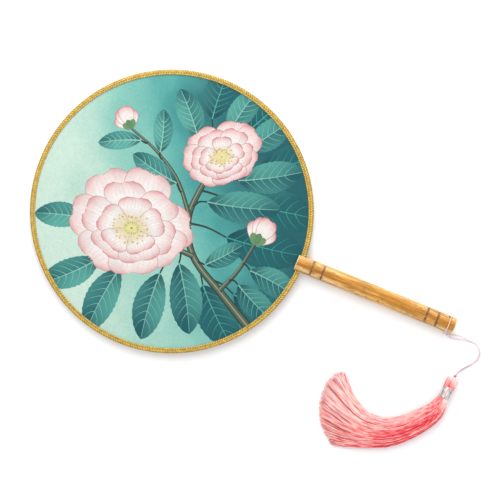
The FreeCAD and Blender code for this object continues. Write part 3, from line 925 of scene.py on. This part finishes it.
streakTint = addNode(tree, "ValToRGB", [shade], [(0.0, "#AC1626"), (0.15, "#DA283A"), (0.35, "#EE4C58"),
                                                 (0.62, "#FC9490"), (1.0, "#FFEAE0")])
colour = addNode(tree, "Mix", {mixShare: threadSet["streakShare"], mixFrom: body, mixTo: streakTint},
                 data_type="RGBA")
where = addNode(tree, "TexCoord").outputs["Object"]
fuzz = addNode(tree, "TexNoise", {"Vector": where, "Scale": 1 / threadSet["fibre"]})
bump = addNode(tree, "Bump", {"Strength": 0.2, "Distance": 0.05 * mm, "Height": fuzz})
dress(tree, colour.outputs[mixResult], bump)
spinning = random.Random(5)

# Head: threads folded over the cord and drawn down to the neck. Its outline: down and radius.
# Tones and places along the thread follow the level, which is the way down, tipped towards one side: the
# head is painted paler at its top and on that side, a painted highlight, and darker in the grooves between
# threads, painted shade
headSet = {"outline": [(0.75, 0.05), (0.32, 1.0), (0.14, 1.9), (0.75, 3.5), (2.3, 4.75), (4.6, 5.2),
                       (7.4, 5.15), (9.4, 4.95), (10.1, 4.75), (10.5, 4.45)],
           "steps": 5, "threads": 52, "pointsPerThread": 6, "relief": 0.14, "fullRelief": 3.0, "swirl": 0.25,
           "waver": 0.02, "tip": 3.2, "grooveShade": 0.5, "paintedHighlight": ((0.5, 3.0, 5.5), (0.3, 0.25, -0.1)),
           "along": ((0.5, 4.0, 6.5, 10.0), (0.94, 0.93, 0.74, 0.62))}
outline = curveThrough(headSet["outline"], headSet["steps"])
around = headSet["threads"] * headSet["pointsPerThread"]
strengths = [spinning.uniform(0.4, 1.0) for _ in range(headSet["threads"])]
tones = [spinning.uniform(0.2, 1.0) for _ in range(headSet["threads"])]
rows, headTone, headAlong, headAcross = [], [], [], []
for step, (down, radius) in enumerate(outline):
    row = []
    for k in range(around):
        number, part = divmod(k, headSet["pointsPerThread"])
        angle = 2 * math.pi * k / around
        groove = (2 * part / headSet["pointsPerThread"] - 1) ** 2
        dip = headSet["relief"] * strengths[number] * groove * min(1, radius / headSet["fullRelief"])
        swirl = headSet["swirl"] * (1 - step / len(outline))
        swirl += headSet["waver"] * math.sin(number * 2.3 + step * 0.2)
        row.append(tasselPoint(down, radius - dip, angle + swirl))
        # paler at the top and towards the picture's right: painted highlight; darker in the grooves: painted
        # shade
        level = down - headSet["tip"] * math.cos(angle)
        headTone.append(tones[number] + np.interp(level, *headSet["paintedHighlight"]) - headSet["grooveShade"] * groove)
        headAlong.append(np.interp(level, *headSet["along"]))
        headAcross.append(k / around)
    rows.append(row)
tasselHead = turnedPiece("tasselHead", rows, thread)
pointValues(tasselHead, threadTone=headTone, threadAlong=headAlong, threadAcross=headAcross)
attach(tasselHead, "tassel")
standsFor(tasselHead, "tassel_thread", "tassel_head")

# Collar: one and a bit turns of ribbon, creased lengthwise where it is drawn tight
collarSet = {"radius": 4.88, "innerRadius": 4.62, "around": 220, "along": 26, "crease": 0.06,
             "creases": (3, 5, 9, 16), "creaseSway": 1.1, "lap": 0.16, "lapDeg": 62.0, "lapLeanDeg": 10.0,
             "lapSpreadDeg": 110.0, "hem": 0.12, "hemPlace": 0.06, "hemShare": 0.03, "edgeRound": 0.15,
             "innerTone": 0.4, "crumple": 1.3 * mm, "crumpleWeight": 1.6}
# Metallised polyester ribbon, woven and crumpled: silver with bright and grey patches, partly random
# crumpling and partly painted reflection, paler on the creases' outward folds and greyer in their troughs
ribbon, tree = newMaterial("metallisedRibbonSilver", Roughness=0.45, Metallic=0.4)
where = addNode(tree, "TexCoord").outputs["Object"]
crease = addNode(tree, "Attribute", attribute_name="crease").outputs["Fac"]
crumple = addNode(tree, "TexNoise", {"Vector": where, "Scale": 1 / collarSet["crumple"], "Detail": 3.0})
# the creases' outward folds are painted paler and their inward folds greyer: painted reflection and painted
# shade
patch = addNode(tree, "Math", [crumple, collarSet["crumpleWeight"], crease], operation="MULTIPLY_ADD")
spread = addNode(tree, "MapRange", [patch, 0.8, 1.8])
tint = addNode(tree, "ValToRGB", [spread],
               [(0.1, "#8A787C"), (0.35, "#B4A2A3"), (0.6, "#CCBCB9"), (0.9, "#E8DCD6")])
bump = addNode(tree, "Bump", {"Strength": 0.5, "Distance": 0.2 * mm, "Height": crumple})
dress(tree, tint.outputs[0], bump)
phases = [spinning.uniform(0, 6) for _ in collarSet["creases"]]
turns = [2 * math.pi * k / collarSet["around"] for k in range(collarSet["around"])]
rows, creaseValues = [], []
for level in np.linspace(0, 1, collarSet["along"]):
    down = tasselSet["headLength"] + tasselSet["collarLength"] * level
    fromEdge = min(level, 1 - level)
    hem = collarSet["hem"] * math.exp(-((fromEdge - collarSet["hemPlace"]) / collarSet["hemShare"]) ** 2)
    rounding = collarSet["edgeRound"] * (1 - min(1, fromEdge / collarSet["hemShare"]))
    lapStart = math.radians(collarSet["lapDeg"] + collarSet["lapLeanDeg"] * level)
    lapEnd = lapStart + math.radians(collarSet["lapSpreadDeg"])
    row = []
    for angle in turns:
        fold = 0.0
        for count, phase in zip(collarSet["creases"], phases):
            sway = collarSet["creaseSway"] * math.sin(5 * level + phase)
            fold += math.sin(count * angle + phase + sway) / len(phases)
        lap = collarSet["lap"] if lapStart < angle < lapEnd else 0.0
        radius = collarSet["radius"] + hem + lap - rounding + collarSet["crease"] * fold
        row.append(tasselPoint(down, radius, angle))
        creaseValues.append(0.5 + 0.5 * fold)
    rows.append(row)
for level in (1, 0):
    down = tasselSet["headLength"] + tasselSet["collarLength"] * level
    rows.append([tasselPoint(down, collarSet["innerRadius"], angle) for angle in turns])
    creaseValues += [collarSet["innerTone"]] * len(turns)
neckCollar = turnedPiece("neckCollar", rows, ribbon, ring=True)
pointValues(neckCollar, crease=creaseValues)
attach(neckCollar, "tassel")
standsFor(neckCollar, "silver_ribbon", "neck_collar")

# Knot: a tight overhand knot that keeps the cord in the head. Sizes in mm
knotSet = {"across": 2.7, "cordRadius": 0.42, "points": 90, "sides": 10, "lift": 1.3, "twist": 0.4}
# Rayon cord, knotted tight: dark pink, because the knot has soaked up the tassel's dye
knotCord, tree = newMaterial("tightRayonKnot", Roughness=0.5, IOR=1.5, Sheen_Weight=0.3)
where = addNode(tree, "TexCoord").outputs["Object"]
twist = addNode(tree, "TexNoise", {"Vector": where, "Scale": 1 / (knotSet["twist"] * mm)})
tint = addNode(tree, "ValToRGB", [twist], [(0.3, "#85415A"), (0.7, "#B9738A")])
dress(tree, tint.outputs[0])
turn = np.linspace(0, 2 * math.pi, knotSet["points"])
trefoil = np.column_stack([np.sin(turn) + 2 * np.sin(2 * turn), np.cos(turn) - 2 * np.cos(2 * turn),
                           -knotSet["lift"] * np.sin(3 * turn)])
trefoilWidth = 6  # the curve's own width
line = np.array(knotCentre) + trefoil / trefoilWidth * (knotSet["across"] - 2 * knotSet["cordRadius"]) * mm
points, faces = [], []
addTube(points, faces, line, knotSet["cordRadius"] * mm, knotSet["sides"])
cordKnot = meshPiece("cordKnot", points, faces, knotCord)
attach(cordKnot, "knot")
standsFor(cordKnot, "knot_cord", "cord_knot")
print("tassel head, collar and knot ready")

# Skirt: loose threads that leave the collar together, sweep round and spread. Sizes in mm.
# Each station: inner edge across and down, outer edge across and down, and height, all as shares.
# Tips: across and down as shares, from the inner edge to the outer one
skirtSet = {"reach": 95.2, "drop": 71.8, "height": 9.4, "layGap": 0.25, "floorGap": 0.1, "mouthHalf": 4.2,
            "insideCollar": ((2.5, 0.9), (0.2, 1.0)), "tipHeightShare": 0.42, "stepsPerStation": 3,
            "threads": 1120, "sides": 4, "radius": 0.27, "tipRadius": 0.15, "taperFrom": 0.85,
            "locks": 84, "coreShare": 0.4, "skinShare": 0.75, "lockPull": 0.42, "corePull": 0.15,
            "pullPower": 0.8, "lockDip": 0.08, "lockLift": 0.06, "lockDrift": 0.004, "wander": 0.012,
            "tipWander": 0.006, "lockFray": 4.0, "threadFray": 4.5, "tipScatter": 0.3}
skirtStations = [(0.120, 0.125, -0.028, 0.155, 0.96), (0.205, 0.250, 0.000, 0.300, 0.90),
                 (0.390, 0.450, 0.138, 0.570, 0.84), (0.585, 0.487, 0.330, 0.790, 0.78),
                 (0.776, 0.358, 0.610, 0.944, 0.68)]
tipShares = [(0.930, 0.148), (1.010, 0.222), (1.046, 0.350), (1.048, 0.510), (1.020, 0.672), (0.945, 0.856),
             (0.798, 1.016)]
# Tones run from 0, red, to 1, nearly white. Tables: places across or along the skirt, and values there.
# The inner side is paler, painted light where the light from the picture's top falls, and the outer side
# redder, with a painted highlight near the collar on the outer side, and the outer threads stay coral to
# their tips.
# The edges of locks are darker: painted shade in the gaps between them
toneSet = {"core": (0.3, 0.65), "lock": (0.38, 0.82), "lockEdgeShade": 0.25, "spread": 0.3,
           "across": ((0, 0.3, 0.7, 0.9, 1), (0.45, 0.18, -0.25, -0.22, -0.14)),
           "along": ((0.12, 0.42, 0.7, 1), (0, 1, 0.9, 0.0)),
           "patch": ((0.3, 0.5), (0, 0.7)), "highlightPlace": 0.14, "highlightReach": 0.1,
           "highlightStart": ((0.35, 0.55), (0.2, 0.0)), "ripeness": ((0.5, 0.8), (1, 0.87))}
mouth = knotCentre / mm - Vector((0, tasselSet["knotToTop"] + collarFoot, 0))


def held(value, low, high):
    return min(high, max(low, value))


def skirtPlace(station, across, height):
    # a place in the skirt's cross-section, from the inner edge to the outer one, and from the floor side up
    innerAcross, innerDown, outerAcross, outerDown, heightShare = station
    shareAcross = innerAcross + (outerAcross - innerAcross) * across
    shareDown = innerDown + (outerDown - innerDown) * across
    tall = heightShare * skirtSet["height"]
    middle = skirtSet["layGap"] + tall / 2
    return (mouth.x - shareAcross * skirtSet["reach"], mouth.y - shareDown * skirtSet["drop"],
            middle + height * (tall / 2 - skirtSet["radius"]))


# Threads of the skin cling together in locks, upper and lower ones apart, and the core fills the gaps
locks = []
for side in range(2):
    edges = np.cumsum([0] + [spinning.uniform(0.4, 1.6) for _ in range(skirtSet["locks"])])
    edges /= edges[-1]
    for low, high in zip(edges, edges[1:]):
        locks.append({"side": side, "middle": (low + high) / 2, "half": (high - low) / 2,
                      "tone": spinning.uniform(*toneSet["lock"]),
                      "lift": spinning.gauss(0, skirtSet["lockLift"]),
                      "drift": spinning.gauss(0, skirtSet["lockDrift"]),
                      "fray": skirtSet["lockFray"] * spinning.random() ** 1.5})
stationCount = len(skirtStations)
tipPlaces = np.linspace(0, 1, len(tipShares))
points, faces, skirtTone, skirtAlong, skirtAcross = [], [], [], [], []
for _ in range(skirtSet["threads"]):
    across, level = spinning.random(), spinning.uniform(-1, 1)
    inCore = abs(level) < skirtSet["coreShare"]
    if not inCore:
        skinLevel = np.interp(abs(level), (skirtSet["coreShare"], 1), (skirtSet["skinShare"], 1))
        level = math.copysign(skinLevel, level)
    height = level * math.sqrt(1 - (2 * across - 1) ** 4)
    lock = next(one for one in locks
                if one["side"] == (height < 0) and abs(across - one["middle"]) <= one["half"])
    edge, drift, lift, fullPull = 0.0, 0.0, 0.0, skirtSet["corePull"]
    if not inCore:
        edge = ((across - lock["middle"]) / lock["half"]) ** 2
        drift = lock["drift"]
        lift = lock["lift"] - math.copysign(skirtSet["lockDip"] * edge, height)
        fullPull = skirtSet["lockPull"]

    # route: out of the collar, through the stations, to a frayed tip
    aside = (2 * across - 1) * skirtSet["mouthHalf"]
    rise = level * skirtSet["mouthHalf"] * math.sqrt(1 - (2 * across - 1) ** 2)
    route = [tuple(tasselPlace(collarFoot - inside, aside, rise * slim) / mm)
             for inside, slim in skirtSet["insideCollar"]]
    for number, station in enumerate(skirtStations, 1):
        pull = fullPull * (number / (stationCount + 1)) ** skirtSet["pullPower"]
        wandered = across + (lock["middle"] - across) * pull + drift * number
        wandered += spinning.gauss(0, skirtSet["wander"])
        raised = held(height + lift * number / stationCount, -1, 1)
        route.append(skirtPlace(station, held(wandered, 0, 1), raised))
    ended = across + (lock["middle"] - across) * fullPull + drift * (stationCount + 1)
    ended = held(ended + spinning.gauss(0, skirtSet["tipWander"]), 0, 1)
    tip = [np.interp(ended, tipPlaces, shares) for shares in zip(*tipShares)]
    end = np.array(skirtPlace((*tip, *tip, skirtSet["tipHeightShare"]), 0.5, held(height + lift, -1, 1)))
    back = np.array(route[-1]) - end
    back /= np.linalg.norm(back)
    short = lock["fray"] + skirtSet["threadFray"] * spinning.random() ** 2
    scatter = [spinning.gauss(0, skirtSet["tipScatter"]) for _ in range(2)]
    route.append(tuple(end + back * short + np.array([*scatter, 0])))
    line = curveThrough(route, skirtSet["stepsPerStation"]) * mm
    line[:, 2] = np.maximum(line[:, 2], (skirtSet["radius"] + skirtSet["floorGap"]) * mm)
    way = np.linspace(0, 1, len(line))
    thick, thin = skirtSet["radius"], skirtSet["tipRadius"]
    radii = np.interp(way, (0, skirtSet["taperFrom"], 1), (thick, thick, thin))
    addTube(points, faces, line, radii * mm, skirtSet["sides"])

    # values that the thread's material reads
    # threads at the edges of locks are darker: painted shade in the gaps between locks
    if inCore:
        shade = spinning.uniform(*toneSet["core"])
    else:
        shade = lock["tone"] - toneSet["lockEdgeShade"] * edge + spinning.gauss(0, toneSet["spread"])
    # the inner side painted paler, painted light where the light from the picture's top falls; the outer
    # side redder
    swept = np.interp(across, *toneSet["across"]) * np.interp(way, *toneSet["along"])
    # a painted highlight just under the collar on the outer side, as lighter tone and as an earlier, paler
    # place on the ramp
    nearHighlight = np.exp(-((way - toneSet["highlightPlace"]) / toneSet["highlightReach"]) ** 2)
    lit = np.interp(across, *toneSet["patch"]) * nearHighlight
    start = np.interp(across, *toneSet["highlightStart"])
    ripe = (start + (1 - start) * way) * np.interp(across, *toneSet["ripeness"])
    skirtTone += list(np.repeat(np.clip(shade + swept + lit, 0, 1), skirtSet["sides"]))
    skirtAlong += list(np.repeat(ripe, skirtSet["sides"]))
    skirtAcross += [across] * len(line) * skirtSet["sides"]
tasselSkirt = meshPiece("tasselSkirt", points, faces, thread)
pointValues(tasselSkirt, threadTone=skirtTone, threadAlong=skirtAlong, threadAcross=skirtAcross)
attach(tasselSkirt, "tassel")
standsFor(tasselSkirt, "tassel_thread", "tassel_skirt")
print("skirt:", skirtSet["threads"], "threads,", len(faces), "faces")
